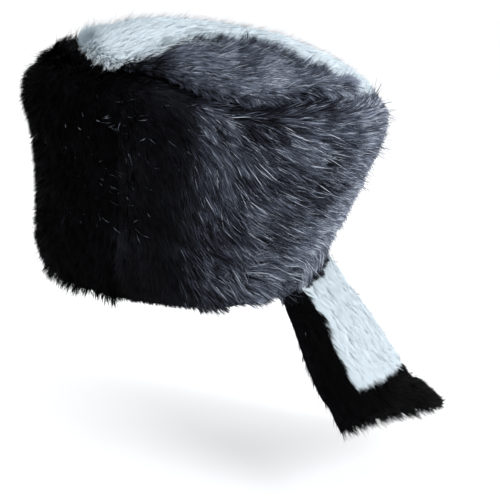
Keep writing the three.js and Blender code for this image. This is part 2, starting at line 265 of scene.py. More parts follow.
# ---- materials -----------------------------------------------------------
def new_material(name):
    m = bpy.data.materials.new(name)
    m.use_nodes = True
    nt = m.node_tree
    nt.nodes.clear()
    out = nt.nodes.new("ShaderNodeOutputMaterial")
    shader = nt.nodes.new("ShaderNodeBsdfPrincipled")
    nt.links.new(shader.outputs[0], out.inputs["Surface"])
    return m, nt, shader


def ramp(nt, stops, interpolation="LINEAR"):
    node = nt.nodes.new("ShaderNodeValToRGB")
    r = node.color_ramp
    r.interpolation = interpolation
    while len(r.elements) > 1:
        r.elements.remove(r.elements[-1])
    for k, (place, colour) in enumerate(stops):
        e = r.elements[0] if k == 0 else r.elements.new(place)
        e.position = place
        e.color = (*colour, 1)
    return node


def strand_material(name, tones, root, rough, specular, sheen, root_shade_end=0.75):
    """Hairs: the tone of each picks its colour, and the colour rises from the dark root to the tip; the darker root is
    painted shade deep in the pile.
    """
    m, nt, shader = new_material(name)
    tone = nt.nodes.new("ShaderNodeAttribute")
    tone.attribute_name = "fur_tone"
    along = nt.nodes.new("ShaderNodeAttribute")
    along.attribute_name = "fur_along"
    colours = ramp(nt, tones)
    nt.links.new(tone.outputs["Fac"], colours.inputs[0])
    # painted shade: the colour darkened towards the root, where the pile shades it
    rise = ramp(nt, [(0.0, (root, root, root)), (root_shade_end, (1, 1, 1))], "EASE")
    nt.links.new(along.outputs["Fac"], rise.inputs[0])
    mix = nt.nodes.new("ShaderNodeMix")
    mix.data_type = "RGBA"
    mix.blend_type = "MULTIPLY"
    mix.inputs[0].default_value = 1
    nt.links.new(colours.outputs[0], mix.inputs[6])
    nt.links.new(rise.outputs[0], mix.inputs[7])
    nt.links.new(mix.outputs[2], shader.inputs["Base Color"])
    shader.inputs["Roughness"].default_value = rough
    shader.inputs["Specular IOR Level"].default_value = specular
    shader.inputs["Sheen Weight"].default_value = sheen
    shader.inputs["Sheen Roughness"].default_value = 0.4
    return m


def ground_material(name, dark, light, scale, rough, specular, bump, stretch=(1, 1, 1)):
    """Undercoat or hide: two noises, one for colour and one for the grain."""
    m, nt, shader = new_material(name)
    place = nt.nodes.new("ShaderNodeTexCoord")
    mapping = nt.nodes.new("ShaderNodeMapping")
    mapping.inputs["Scale"].default_value = stretch
    nt.links.new(place.outputs["Object"], mapping.inputs["Vector"])
    big = nt.nodes.new("ShaderNodeTexNoise")
    big.inputs["Scale"].default_value = scale
    big.inputs["Detail"].default_value = 4
    nt.links.new(mapping.outputs[0], big.inputs["Vector"])
    colours = ramp(nt, [(0.3, dark), (0.7, light)])
    nt.links.new(big.outputs["Fac"], colours.inputs[0])
    nt.links.new(colours.outputs[0], shader.inputs["Base Color"])
    fine = nt.nodes.new("ShaderNodeTexNoise")
    fine.inputs["Scale"].default_value = scale * 8
    fine.inputs["Detail"].default_value = 3
    nt.links.new(mapping.outputs[0], fine.inputs["Vector"])
    b = nt.nodes.new("ShaderNodeBump")
    b.inputs["Strength"].default_value = 0.5
    b.inputs["Distance"].default_value = bump
    nt.links.new(fine.outputs["Fac"], b.inputs["Height"])
    nt.links.new(b.outputs[0], shader.inputs["Normal"])
    shader.inputs["Roughness"].default_value = rough
    shader.inputs["Specular IOR Level"].default_value = specular
    return m


# black hair colours by tone: the low end is the hair's own black, and the bluish-grey upper end carries the painted
# sheen of the pile as well as the pale guard hairs
BLACK_TONES_AND_SHEEN = [
    (0.0, (0.0006, 0.0006, 0.0008)), (0.20, (0.0022, 0.0022, 0.0028)), (0.40, (0.0110, 0.0118, 0.0160)),
    (0.55, (0.036, 0.041, 0.058)), (0.70, (0.092, 0.106, 0.145)), (0.85, (0.22, 0.25, 0.32)), (1.0, (0.62, 0.67, 0.76))]
BLACK = strand_material("black_hair", BLACK_TONES_AND_SHEEN, root=0.18, rough=0.5, specular=0.03, sheen=0.0)
BLACK_DULL = strand_material("black_hair_short", BLACK_TONES_AND_SHEEN, root=0.3, rough=0.6, specular=0.02, sheen=0.0)
WHITE = strand_material("white_hair", [
    (0.0, (0.20, 0.165, 0.17)), (0.2, (0.42, 0.38, 0.39)), (0.4, (0.54, 0.59, 0.63)),
    (0.65, (0.64, 0.715, 0.76)), (1.0, (0.74, 0.80, 0.84))],
    root=0.93, rough=0.8, specular=0.08, sheen=0.0)
BLACK_UNDER = ground_material("black_undercoat", (0.0008, 0.0008, 0.001), (0.003, 0.003, 0.004), 140, 0.95, 0.02, 0.0012)
WHITE_UNDER = ground_material("white_undercoat", (0.60, 0.66, 0.70), (0.70, 0.76, 0.79), 140, 0.9, 0.1, 0.0012)
HIDE = ground_material("hide", (0.030, 0.026, 0.023), (0.062, 0.054, 0.047), 60, 0.85, 0.2, 0.0004)


# ---- meshes --------------------------------------------------------------
def mesh_object(name, verts, faces, slots, which=None, smooth=True):
    me = bpy.data.meshes.new(name)
    me.from_pydata([tuple(v) for v in (np.asarray(verts) * MM).tolist()], [], faces)
    for m in slots:
        me.materials.append(m)
    if which is not None:
        me.polygons.foreach_set("material_index", np.asarray(which, np.int32))
    me.polygons.foreach_set("use_smooth", np.full(len(me.polygons), smooth))
    me.update()
    ob = bpy.data.objects.new(name, me)
    bpy.context.scene.collection.objects.link(ob)
    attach(ob, "root")
    return ob


def ring_body(name, sections, slots, which_of, closed_ends=True):
    """Sections is (n, m, 3): n closed loops of m points, joined and closed at both ends."""
    n, m, _ = sections.shape
    faces, which = [], []
    for i in range(n - 1):
        for k in range(m):
            a, b = i * m + k, i * m + (k + 1) % m
            faces.append((a, b, b + m, a + m))
            which.append(which_of(k))
    verts = sections.reshape(-1, 3)
    if closed_ends:
        ends = [sections[0].mean(0), sections[-1].mean(0)]
        base = len(verts)
        verts = np.concatenate([verts, ends])
        for k in range(m):
            faces.append((k, base, (k + 1) % m))
            which.append(which_of(k))
            faces.append(((n - 1) * m + k, (n - 1) * m + (k + 1) % m, base + 1))
            which.append(which_of(k))
    return mesh_object(name, verts, faces, slots, which)


def slab(name, top, under, slots):
    """A closed body between two grids of points of the same shape (n, m, 3)."""
    n, m, _ = top.shape
    verts = np.concatenate([top.reshape(-1, 3), under.reshape(-1, 3)])
    off = n * m
    faces, which = [], []
    for i in range(n - 1):
        for k in range(m - 1):
            a = i * m + k
            faces.append((a, a + 1, a + m + 1, a + m))
            which.append(0)
            faces.append((off + a, off + a + m, off + a + m + 1, off + a + 1))
            which.append(1)
    edge = ([(i * m, (i + 1) * m) for i in range(n - 1)]
            + [((n - 1) * m + k, (n - 1) * m + k + 1) for k in range(m - 1)]
            + [((i + 1) * m + m - 1, i * m + m - 1) for i in reversed(range(n - 1))]
            + [(k + 1, k) for k in reversed(range(m - 1))])
    for a, b in edge:
        faces.append((a, b, off + b, off + a))
        which.append(0)
    return mesh_object(name, verts, faces, slots, which)


# ---- hairs ---------------------------------------------------------------
BUCKETS = 64


def grow(name, material, root, normal, flow, length, lift0, lift1, width, tone, curl, roll, rings, clump=None, pull=0.0,
         soften=0.5):
    """One mesh of tapered blades. clump is (index, root, normal, flow, length, lift0, lift1) of each blade's tuft.
    soften is how far the blades are shaded like the surface that they grow from."""
    n = len(root)

    def curve(p, nrm, f, ln, l0, l1, c, t):
        d0 = f * np.cos(l0)[:, None] + nrm * np.sin(l0)[:, None]
        d1 = f * np.cos(l1)[:, None] + nrm * np.sin(l1)[:, None]
        s = np.cross(nrm, f)
        return p + ln[:, None] * (d0 * (t - t * t / 2) + d1 * (t * t / 2) + s * (c * t * t)[:, None])
    ts = {2: (0.0, 0.55, 1.0), 3: (0.0, 0.38, 0.74, 1.0), 4: (0.0, 0.3, 0.58, 0.82, 1.0)}[rings]
    points = []
    for t in ts:
        p = curve(root, normal, flow, length, lift0, lift1, curl, t)
        if clump is not None:
            k, cr, cn, cf, cl, c0, c1 = clump
            c = curve(cr, cn, cf, cl, c0, c1, np.zeros(len(cr)), t)[k]
            p = p + (c + (root - cr[k]) * 0.25 - p) * (pull * t**1.4)[:, None]
        points.append(p)
    verts = np.empty((n, 2 * rings + 1, 3))
    shade = np.empty((n, 2 * rings + 1, 3))
    for j, t in enumerate(ts):
        ahead = points[min(j + 1, rings)] - points[max(j - 1, 0)]
        t_dir = unit(ahead)
        side = unit(np.cross(t_dir, normal))
        up = np.cross(side, t_dir)
        side = side * np.cos(roll)[:, None] + up * np.sin(roll)[:, None]
        facing = np.cross(side, t_dir)
        facing = unit(normal * soften + facing * (1 - soften) + t_dir * 0.15)
        shade[:, 2 * j] = facing
        if j < rings:
            shade[:, 2 * j + 1] = facing
            w = (width * (1 - 0.75 * t**1.5) / 2)[:, None]
            verts[:, 2 * j] = points[j] - side * w
            verts[:, 2 * j + 1] = points[j] + side * w
        else:
            verts[:, 2 * j] = points[j]
    per = 2 * rings + 1
    first = (np.arange(n) * per)[:, None]
    corners, starts, totals = [], [], []
    quad = np.concatenate([[2 * j, 2 * j + 1, 2 * j + 3, 2 * j + 2] for j in range(rings - 1)])
    tri = [2 * rings - 2, 2 * rings - 1, 2 * rings]
    pattern = np.concatenate([quad, tri])
    corners = (first + pattern[None, :]).ravel()
    counts = np.array([4] * (rings - 1) + [3])
    totals = np.tile(counts, n)
    starts = np.concatenate([[0], np.cumsum(totals)[:-1]])
    me = bpy.data.meshes.new(name)
    me.vertices.add(n * per)
    me.vertices.foreach_set("co", (verts * MM).astype(np.float32).ravel())
    me.loops.add(len(corners))
    me.loops.foreach_set("vertex_index", corners.astype(np.int32))
    me.polygons.add(len(totals))
    me.polygons.foreach_set("loop_start", starts.astype(np.int32))
    me.polygons.foreach_set("loop_total", totals.astype(np.int32))
    me.polygons.foreach_set("use_smooth", np.ones(len(totals), bool))
    me.update(calc_edges=True)
    bucket = np.clip((tone * BUCKETS).astype(int), 0, BUCKETS - 1)
    shown = (bucket + 0.5) / BUCKETS
    along = np.array([ts[j // 2] for j in range(per)])
    across = np.array([0.25 if j % 2 == 0 else 0.75 for j in range(per - 1)] + [0.5])
    for label, values in (("fur_tone", np.repeat(shown, per)), ("fur_along", np.tile(along, n))):
        layer = me.attributes.new(label, "FLOAT", "POINT")
        layer.data.foreach_set("value", values.astype(np.float32))
    uv = me.uv_layers.new(name="OFBake")
    vu = ((bucket[:, None] + across[None, :]) / BUCKETS).ravel()
    vv = np.tile(0.02 + 0.96 * along, n)
    uv.data.foreach_set("uv", np.stack([vu[corners], vv[corners]], -1).astype(np.float32).ravel())
    me.normals_split_custom_set_from_vertices(shade.reshape(-1, 3).astype(np.float32))
    me.materials.append(material)
    ob = bpy.data.objects.new(name, me)
    bpy.context.scene.collection.objects.link(ob)
    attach(ob, "root")
    print(f"{name}: {n} hairs, {int((totals - 2).sum())} triangles")
    return ob


def scatter(surface, count, box, eps, inside=None):
    """Places spread evenly over a surface within box = (p0, p1, q0, q1)."""
    p0, p1, q0, q1 = box
    got_p, got_q, have = [], [], 0
    while have < count:
        p = rng.uniform(p0, p1, count * 2)
        q = rng.uniform(q0, q1, count * 2)
        if inside is not None:
            keep = inside(p, q)
            p, q = p[keep], q[keep]
        if not len(p):
            continue
        _, _, _, _, lp, lq = frames(surface, p, q, *eps)
        area = lp * lq
        keep = rng.uniform(0, np.quantile(area, 0.995), len(p)) < area
        got_p.append(p[keep])
        got_q.append(q[keep])
        have += keep.sum()
    return np.concatenate(got_p)[:count], np.concatenate(got_q)[:count]


def pelt(name, material, surface, count, box, eps, fields, tuft, depth, rings=3, inside=None, outward=1, soften=0.5):
    """Hairs in tufts over a surface. fields(p, q, P, tp, tq, n) gives flow, length, lift0, lift1, width, tone, pull."""
    count = int(count * FULL)
    per = tuft[0]
    m = max(count // per, 1)
    cp, cq = scatter(surface, m, box, eps, inside)
    cP, ctp, ctq, cn, clp, clq = frames(surface, cp, cq, *eps)
    cn = cn * outward
    cf = fields(cp, cq, cP, ctp, ctq, cn)
    turn = rng.normal(0, math.radians(tuft[2]), m)
    c_flow = cf["flow"] * np.cos(turn)[:, None] + np.cross(cn, cf["flow"]) * np.sin(turn)[:, None]
    c_len = cf["length"] * rng.uniform(0.85, 1.15, m)
    c_l0 = cf["lift0"] + rng.normal(0, 0.10, m)
    c_l1 = cf["lift1"] + rng.normal(0, 0.08, m)
    c_tone = rng.normal(0, 1, m)
    k = rng.integers(0, m, count)
    radius = tuft[1] * np.sqrt(rng.uniform(0, 1, count))
    angle = rng.uniform(0, 2 * np.pi, count)
    p = cp[k] + radius * np.cos(angle) / clp[k]
    q = cq[k] + radius * np.sin(angle) / clq[k]
    keep = (p >= box[0]) & (p <= box[1]) & (q >= box[2]) & (q <= box[3])
    if inside is not None:
        keep &= inside(p, q)
    p, q, k = p[keep], q[keep], k[keep]
    n = len(p)
    P, tp, tq, nrm, _, _ = frames(surface, p, q, *eps)
    nrm = nrm * outward
    f = fields(p, q, P, tp, tq, nrm)
    calm = f.get("calm", 1.0)
    own = rng.normal(0, math.radians(tuft[3]), n)
    flow = f["flow"] * np.cos(turn[k])[:, None] + np.cross(nrm, f["flow"]) * np.sin(turn[k])[:, None]
    flow = flow * np.cos(own)[:, None] + np.cross(nrm, flow) * np.sin(own)[:, None]
    length = f["length"] * (1 + calm * (rng.uniform(0.62, 1.12, n) - 1))
    lift0 = f["lift0"] + rng.normal(0, 0.12, n) * calm
    lift1 = f["lift1"] + rng.normal(0, 0.09, n) * calm
    tone = f["tone"] + f["vary"] * (0.75 * c_tone[k] + 0.6 * (rng.exponential(1.0, n) - 1))
    stray = rng.uniform(0, 1, n) < f["stray"]
    length = np.where(stray, length * 1.25, length)
    lift0 = np.where(stray, lift0 + 0.25, lift0)
    lift1 = np.where(stray, lift1 + 0.45, lift1)
    guard = rng.uniform(0, 1, n) < f["guard"]
    tone = np.where(guard, rng.uniform(0.78, 0.97, n), tone)
    width = np.where(guard, f["width"] * 0.62, f["width"])
    length = np.where(guard, length * 1.05, length)
    lift0 = np.where(guard, lift0 - 0.15, lift0)
    lift1 = np.where(guard, lift1 - 0.20, lift1)
    across = np.where(guard, rng.normal(0.75, 0.45, n), 0.0) * f.get("across", 0.0)
    flow = flow * np.cos(across)[:, None] + np.cross(nrm, flow) * np.sin(across)[:, None]
    white = rng.uniform(0, 1, n) < f.get("fringe", 0.0)
    tone = np.where(white, rng.uniform(0.0, 0.25, n), tone)
    width = np.where(white, width * 0.5, width)
    length = np.where(white, length * 1.25, length)
    lift1 = np.where(white, lift1 + 0.30, lift1)
    root = P - nrm * np.asarray(depth(p, q) if callable(depth) else depth)[..., None]
    c_root = cP - cn * np.asarray(depth(cp, cq) if callable(depth) else depth)[..., None]
    return grow(name, material, root, nrm, unit(flow), length, lift0, lift1, width, np.clip(tone, 0, 0.999),
                rng.normal(0, 0.07, n), rng.normal(0, 0.55, n) * calm, rings,
                clump=(k, c_root, cn, unit(c_flow), c_len, c_l0, c_l1), soften=soften,
                pull=np.where(stray | guard | white, 0.0, f["pull"] * rng.uniform(0.5, 1.0, n)))


# ---- the lie of the pile on the wall ------------------------------------
# degrees below level at the top, middle and rim, length, how far the hairs stand up and tone, by the angle from the
# forehead; the tone rises from the dark forehead pelt to the back, partly the pelts' own colour and partly painted
# sheen where the light from behind and above catches the pile
LIE_ROWS = table(("angle", "top", "middle", "rim", "length", "stand", "tone"), [
    (0, 70, 78, 88, 9.5, 46, 0.12),
    (40, 55, 66, 84, 9.5, 44, 0.13),
    (58, 42, 60, 80, 10.5, 38, 0.17),
    (70, 34, 54, 74, 14, 30, 0.22),
    (82, 44, 50, 60, 17, 24, 0.26),
    (93, 48, 44, 44, 20, 20, 0.39),
    (108, 36, 34, 30, 21, 18, 0.48),
    (130, 14, 22, 26, 21, 16, 0.56),
    (150, 6, 14, 24, 20, 15, 0.66),
    (168, 30, 40, 52, 20, 16, 0.66),
    (180, 78, 84, 88, 19, 17, 0.52)])
# lighter places (amount > 0), painted sheen, and darker places, painted shade, of the pile: angle, height, wide, tall
# (degrees and shares), amount
PILE_SHEEN_AND_SHADE = [
    (89, 0.93, 8, 0.12, 0.28), (96, 0.78, 7, 0.09, 0.14), (104, 0.84, 8, 0.07, 0.05), (93, 0.60, 6, 0.07, 0.10), (108, 0.99, 7, 0.05, -0.10),
    (87, 0.76, 6, 0.11, 0.07), (76, 0.97, 8, 0.05, 0.08), (96, 0.44, 8, 0.07, -0.08), (110, 0.55, 8, 0.07, 0.09),
    (121, 0.85, 9, 0.09, 0.18), (100, 1.03, 16, 0.05, -0.16), (146, 0.72, 8, 0.14, 0.07), (70, 0.98, 9, 0.09, 0.10), (112, 0.20, 6, 0.05, 0.17), (116, 0.38, 8, 0.06, -0.05), (126, 0.58, 7, 0.09, -0.08),
    (137, 0.32, 11, 0.12, 0.14), (148, 0.10, 10, 0.08, 0.13), (61, 0.30, 3.5, 0.12, 0.14), (64, 0.52, 4, 0.08, 0.07),
    (104, 0.09, 16, 0.04, -0.06),
    (-96, 0.76, 14, 0.12, 0.12), (-122, 0.44, 14, 0.14, 0.06), (-108, 0.24, 8, 0.08, 0.12), (-137, 0.68, 5, 0.20, -0.14),
    (-80, 0.30, 10, 0.2, -0.06), (180, 0.5, 16, 0.3, 0.03)]


def wall_fields(u, q, P, tp, tq, n):
    s = np.degrees(np.abs(wrap(u)))
    v = np.clip(q, 0, 1)
    hi = read(LIE_ROWS, "angle", "top", s)
    mid = read(LIE_ROWS, "angle", "middle", s)
    low = read(LIE_ROWS, "angle", "rim", s)
    phi = np.where(v > 0.5, mid + (hi - mid) * step((v - 0.5) / 0.45), mid + (low - mid) * step((0.5 - v) / 0.45))
    phi = phi + 17 * noise(P, 34, 3) + 9 * noise(P, 13, 4)
    back = tp * np.sign(np.sin(u))[:, None]
    deg360 = np.degrees(u) % 360
    # a whorl low behind the ear, on both sides
    for a0, h0, way in ((113, 0.21, 1), (-108, 0.24, -1)):
        dx = np.degrees(wrap(u - math.radians(a0))) * way * 1.75
        dy = (v - h0) * 159
        r = np.hypot(dx, dy)
        swirl = np.exp(-((r / 13) ** 2))
        ring = np.degrees(np.arctan2(dy, dx)) + 60
        diff = (-ring - phi + 180) % 360 - 180
        phi = phi + diff * swirl * 0.7
    phi = np.radians(phi)
    down = -tq
    # over the top of the wall the pile leans to the crown seam and back
    flow = back * np.cos(phi)[:, None] + down * np.sin(phi)[:, None]
    edge = step((q - 0.93) / 0.1)[:, None]
    lean = unit(back * 0.8 + tq * 0.15)
    behind = np.array([0, 1.0, 0]) - n * n[:, 1:2]
    ahead = step((62 - s) / 16)[:, None]
    rear = step((s - 128) / 20)[:, None]
    lean = unit(lean * (1 - rear) + unit(back * 0.45 + tq * 0.8) * rear)
    lean = unit(lean * (1 - ahead) + unit(behind + 1e-6) * ahead)
    flow = unit(flow * (1 - edge) + lean * edge)
    # over the top of the tail it is long and hangs down
    cover = (step((deg360 - 134) / 14) * step((218 - deg360) / 12) * step((q + 0.04) / 0.05) * step((0.34 - q) / 0.12))
    fall = unit(down + back * 0.35 * step((156 - s) / 20)[:, None])
    flow = unit(flow * (1 - cover)[:, None] + fall * cover[:, None])
    # under the rim it hangs straight down
    rim = (step((0.02 - q) / 0.05) * (1 + 0.8 * step((s - 112) / 20)))[:, None]
    hang = np.array([0, 0, -1.0]) + back * 0.35 + np.array([0, 0.8, 0]) * step((s - 112) / 20)[:, None]
    hang = hang - n * (hang * n).sum(-1, keepdims=True)
    flow = unit(flow * (1 - 0.5 * rim) + unit(hang + 1e-6) * 0.5 * rim)
    length = read(LIE_ROWS, "angle", "length", s) * (1 - 0.22 * step((v - 0.86) / 0.14))
    tufts = step((noise(P, 11, 15) - 0.05) / 0.5)
    at_rim = step((0.12 - q) / 0.12)
    nape = step((s - 112) / 20)
    length = length + (4.5 + 8.5 * tufts + 8.5 * nape - length) * at_rim
    length = length + (6.5 + 4.0 * tufts) * cover
    stand = np.radians(read(LIE_ROWS, "angle", "stand", s)) + 0.10 * cover
    # tone from the table, partly painted sheen, with random variation
    tone = read(LIE_ROWS, "angle", "tone", s) + 0.07 * noise(P, 30, 8) + 0.06 * noise(P, 9, 9)
    deg = np.degrees(wrap(u))
    # painted sheen and painted shade, spot by spot
    for a0, h0, wide, tall, amount in PILE_SHEEN_AND_SHADE:
        d = (deg - a0 + 180) % 360 - 180
        tone = tone + amount * np.exp(-((d / wide) ** 2 + ((v - h0) / tall) ** 2))
    front = step((72 - s) / 14)
    # painted shade: the pile darker low along the rim at the front and sides
    tone = tone - 0.10 * step((0.10 - v) / 0.1) * step((120 - s) / 30)
    silver = np.exp(-(((s - 56 - 14 * (v - 0.6)) / 11) ** 2)) * step((v - 0.25) / 0.2) * step((0.95 - v) / 0.1)
    # pale hairs gathered in the fan, where the pile's sheen is brightest, and more of them on the sides and back:
    # partly real guard hairs, partly painted highlight streaks
    sheen_fan = np.exp(-(((deg - 92) / 9) ** 2 + ((v - 0.88) / 0.14) ** 2)) + 0.6 * np.exp(-(((deg - 112) / 12) ** 2 + ((v - 0.52) / 0.16) ** 2))
    guard = 0.0012 + 0.006 * step((s - 84) / 14) + 0.020 * silver + 0.030 * sheen_fan
    # the forehead pelt's top leans back over the front of the crown
    crest = step((62 - s) / 16) * step((q - 0.93) / 0.06)
    low = step((q - 0.88) / 0.08) * (1 - 0.5 * step((s - 70) / 20)) * (1 - 0.8 * step((s - 128) / 20))
    length = length + 6.0 * crest
    return {"flow": flow, "length": length, "lift0": (stand + 0.30) * (1 - 0.40 * low) + 0.50 * crest,
            "lift1": stand * (0.62 + 0.18 * front) * (1 - 0.75 * low) + 0.10 * crest, "across": np.sign(np.sin(u)) * (1 - 0.85 * step((s - 78) / 14)),
            "width": 0.46 + 0.12 * front, "tone": tone, "vary": 0.05 + 0.15 * step((s - 76) / 16), "guard": guard,
            "pull": 0.35 + 0.40 * step((s - 70) / 20), "stray": 0.03 + 0.02 * step((s - 80) / 20) - 0.03 * step((s - 125) / 20)}


def wall_inset(u, q):
    """How far the undercoat lies below the fur's outer form: more under the longer pile of the sides and back."""
    s = np.degrees(np.abs(wrap(u)))
    return 0.6 + (2.4 + 2.2 * step((s - 80) / 30)) * step((q - 0.0) / 0.10) * (1 - 0.55 * step((q - 0.97) / 0.08))


def wall_depth(u, q):
    return wall_inset(u, q) + 1.2


# ---- the pelts of the wall -----------------------------------------------
def wall_base(name, start, end, count):
    heights = np.concatenate([[-0.05, -0.02], np.linspace(0, 1, 30), [1.03, 1.07, 1.10]])
    inner = np.array([1, 0.9, 0.8, 0.7, 0.6, 0.5, 0.4, 0.3, 0.2, 0.1, 0.05])
    us = np.radians(np.linspace(start, end, count))
    uu, qq = np.meshgrid(us, heights, indexing="ij")
    P, tp, tq, n, _, _ = frames(wall, uu, qq, 0.012, 0.012)
    inset = wall_inset(uu, qq)
    bumps = (0.9 * noise(P, 9, 21) + 0.5 * noise(P, 4.5, 22)) * step((qq - 0.03) / 0.1) * (1 - step((qq - 0.98) / 0.06))
    outer = P - n * (inset - bumps)[..., None]
    outer[:, 0] = wall(us, np.full_like(us, -0.05))
    edge = oval(us, CROWN_FRONT, CROWN_BACK, CROWN_HALF)
    ledge = at(us, edge + 1.0, wall_height(us, 1.0))[:, None]
    iu, iv = np.meshgrid(us, inner, indexing="ij")
    inside = at(iu, on_rows(HEAD_ROWS, iu, iv), wall_height(iu, iv))
    sections = np.concatenate([outer, ledge, inside], 1)
    outer_count = len(heights)
    body = ring_body(name, sections, [BLACK_UNDER, HIDE], lambda k: 0 if k < outer_count + 1 else 1)
    return body


GAP = math.degrees(0.25 / 100)
front_base = wall_base("front_panel_pelt", -SEAM_ANGLE + GAP, SEAM_ANGLE - GAP, 60)
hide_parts("front_panel")
band_base = wall_base("side_band_pelt", SEAM_ANGLE + GAP, 360 - SEAM_ANGLE - GAP, 124)
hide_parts("side_band")

EPS_WALL = (0.012, 0.012)
r = math.radians
front_hair = pelt("front_panel_hair", BLACK_DULL, wall, 42000, (r(-SEAM_ANGLE), r(SEAM_ANGLE), -0.05, 1.1), EPS_WALL,
                  wall_fields, (8, 2.2, 12, 9), wall_depth, rings=2)
for part, lo, hi, count, rings in (("left", 59.2, 112, 29000, 3), ("nape_left", 112, 180, 31000, 3),
                                   ("nape_right", 180, 248, 24000, 2), ("right", 248, 300.8, 19000, 2)):
    hair = pelt(f"side_band_hair_{part}", BLACK, wall, count, (r(lo), r(hi), -0.05, 1.1), EPS_WALL,
                wall_fields, (6, 1.7, 9, 5), wall_depth, rings=rings)


# ---- the crown -----------------------------------------------------------
def crown_inset(x, y, extra):
    """How far the undercoat of the crown lies below its outer form; the stripe's falls away to its sides."""
    inset = 0.5 + 2.5 * (1 - step((crown_rho(x, y) - 0.88) / 0.12))
    if extra:
        d = np.minimum(stripe_left(y) - x, x - stripe_right(y))
        inset = inset + 3.4 * (1 - step(d / 10)) * (1 - step((crown_rho(x, y) - 0.9) / 0.1))
    return inset


def crown_depth(extra):
    return lambda x, y: crown_inset(x, y, extra) + 1.0


def crown_piece(name, lo, hi, y0, y1, extra, slots, ny, nx):
    ys = np.linspace(y0, y1, ny)
    t = np.linspace(0, 1, nx)
    a, b = lo(ys), hi(ys)
    x = a[:, None] + (b - a)[:, None] * t[None, :]
    y = np.repeat(ys[:, None], nx, 1)
    top = crown_surface(extra)(x, y)
    inset = crown_inset(x, y, extra)
    rise = 0.9 * noise(top, 9, 31) + 0.4 * noise(top, 4.5, 32)
    top[..., 2] -= inset * (1 - 0.3 * rise)
    under = np.stack([x, y, np.minimum(crown_under(x, y), top[..., 2] - 1.0)], -1)
    body = slab(name, top, under, slots)
    return body


def y_span(edge, sign):
    """Where a side part of the crown is wider than nothing."""
    ys = np.linspace(-118, 118, 2000)
    room = sign * (sign * crown_limit(ys) - edge(ys)) > 0.6
    long = np.where(ys < 0, CROWN_FRONT, CROWN_BACK)
    room &= np.abs(ys) < long * 0.995
    return ys[room].min(), ys[room].max()


stripe_base = crown_piece("crown_stripe_pelt", lambda y: np.maximum(stripe_right(y) + 0.25, -crown_limit(y) + 0.2),
                          lambda y: np.minimum(stripe_left(y) - 0.25, crown_limit(y) - 0.2), -94.6, 118.4, STRIPE_EXTRA,
                          [WHITE_UNDER, HIDE], 60, 32)
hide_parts("crown_stripe")
y0, y1 = y_span(stripe_left, 1)
left_base = crown_piece("crown_left_pelt", lambda y: stripe_left(y) + 0.25, lambda y: crown_limit(y) - 0.2, y0, y1, 0,
                        [BLACK_UNDER, HIDE], 48, 17)
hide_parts("crown_left")
y0, y1 = y_span(stripe_right, -1)
right_base = crown_piece("crown_right_pelt", lambda y: -crown_limit(y) + 0.2, lambda y: stripe_right(y) - 0.25, y0, y1, 0,
                         [BLACK_UNDER, HIDE], 48, 17)
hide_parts("crown_right")

# lighter places (amount > 0), painted sheen, and darker places, painted shade, of the crown's sides: x, y, wide, amount
CROWN_SHEEN_AND_SHADE = [(62, -8, 14, 0.07), (72, 30, 18, 0.17), (60, 18, 7, -0.12), (60, 52, 9, -0.04), (76, 60, 12, 0.02),
               (66, 84, 16, 0.12), (54, 100, 12, 0.16), (-64, 0, 24, 0.06), (-70, 50, 22, 0.05)]


def crown_fields(x, y, P, tp, tq, n):
    turn = np.radians(14 * noise(P, 30, 41) + 9 * noise(P, 12, 42))
    out = np.sign(x) * (0.12 + 0.25 * step((np.abs(x) - 45) / 45))
    # beside the stripe the black hairs stand up and lean over the white
    near = 1 - step(np.where(x > 0, x - stripe_left(y), stripe_right(y) - x) / 9)
    out = out - np.sign(x) * (0.75 - 0.55 * step((-y - 5) / 30)) * near
    edge = step((crown_rho(x, y) - 0.86) / 0.12)
    out = out + np.sign(x) * 1.1 * edge
    flow = unit(tq + tp * (out + np.tan(turn))[:, None])
    # the crown's black is lighter than the front of the wall: partly painted sheen of the top, which faces the light
    tone = 0.68 + 0.08 * noise(P, 24, 43) + 0.06 * noise(P, 8, 44)
    # painted sheen and painted shade, spot by spot
    for x0, yy, wide, amount in CROWN_SHEEN_AND_SHADE:
        tone = tone + amount * np.exp(-(((x - x0) / wide) ** 2 + ((y - yy) / (wide * 1.2)) ** 2))
    # painted shade: darker over the front of the crown and along its rim, where it dips to the wall, except at the
    # back; a little darker beside the stripe
    tone = tone - 0.24 * step((-y - 16) / 30) - 0.05 * near - 0.12 * edge * (1 - step((y - 40) / 30))
    rho = crown_rho(x, y)
    ahead = step((-y - 5) / 30)
    length = 13.5 - 1.0 * edge + (2.5 - 4.0 * ahead) * near
    return {"flow": flow, "length": length, "lift0": 0.72 + (0.35 - 0.35 * ahead) * near, "lift1": 0.28 + (0.30 - 0.35 * ahead) * near,
            "width": np.full_like(x, 0.46), "tone": tone, "vary": np.full_like(x, 0.13), "guard": np.full_like(x, 0.002),
            "pull": np.full_like(x, 0.6), "stray": np.full_like(x, 0.03)}


